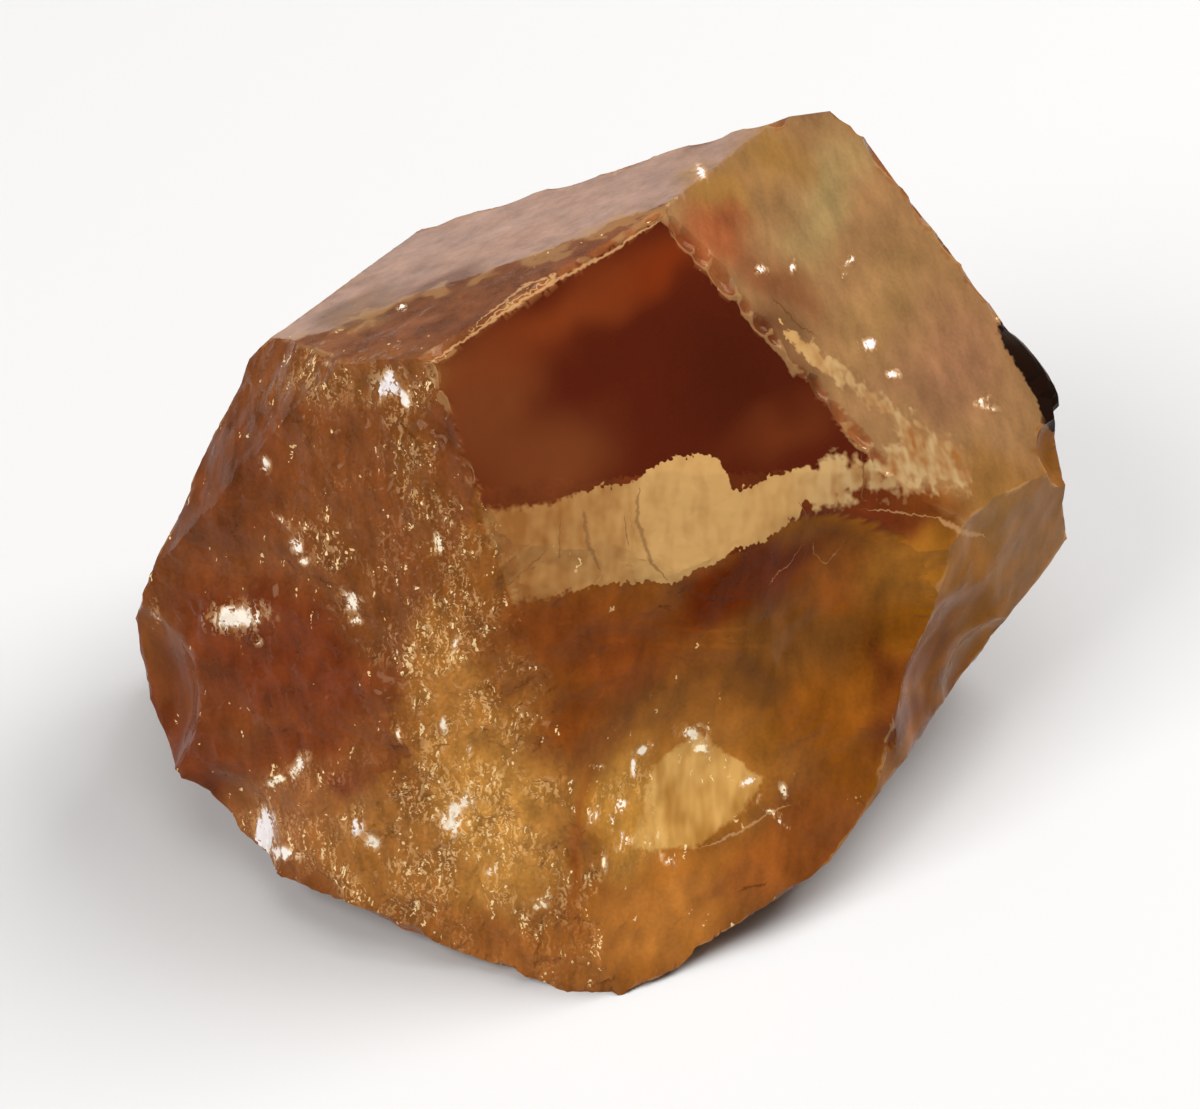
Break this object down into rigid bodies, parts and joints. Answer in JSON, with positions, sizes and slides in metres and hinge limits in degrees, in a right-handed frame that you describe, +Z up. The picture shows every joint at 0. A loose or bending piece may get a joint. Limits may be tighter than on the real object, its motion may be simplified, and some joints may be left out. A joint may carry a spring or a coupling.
{
  "type": "raw citrine",
  "caption": "Rough broken lump of golden brown, see-through quartz with flat and glittering faces, resting on a flat underside.",
  "frame": {"origin": "middle of the stone's box, at the level of the face it rests on", "axes": "+Z up from the resting face, +X along the stone's longest extent, -Y towards the viewer of the picture"},
  "size_m": [0.051, 0.0412, 0.0341],
  "materials": {
    "citrine": "glossy broken crystal"
  },
  "bodies": {
    "root": {"raw_citrine": "citrine"}
  },
  "joints": []
}
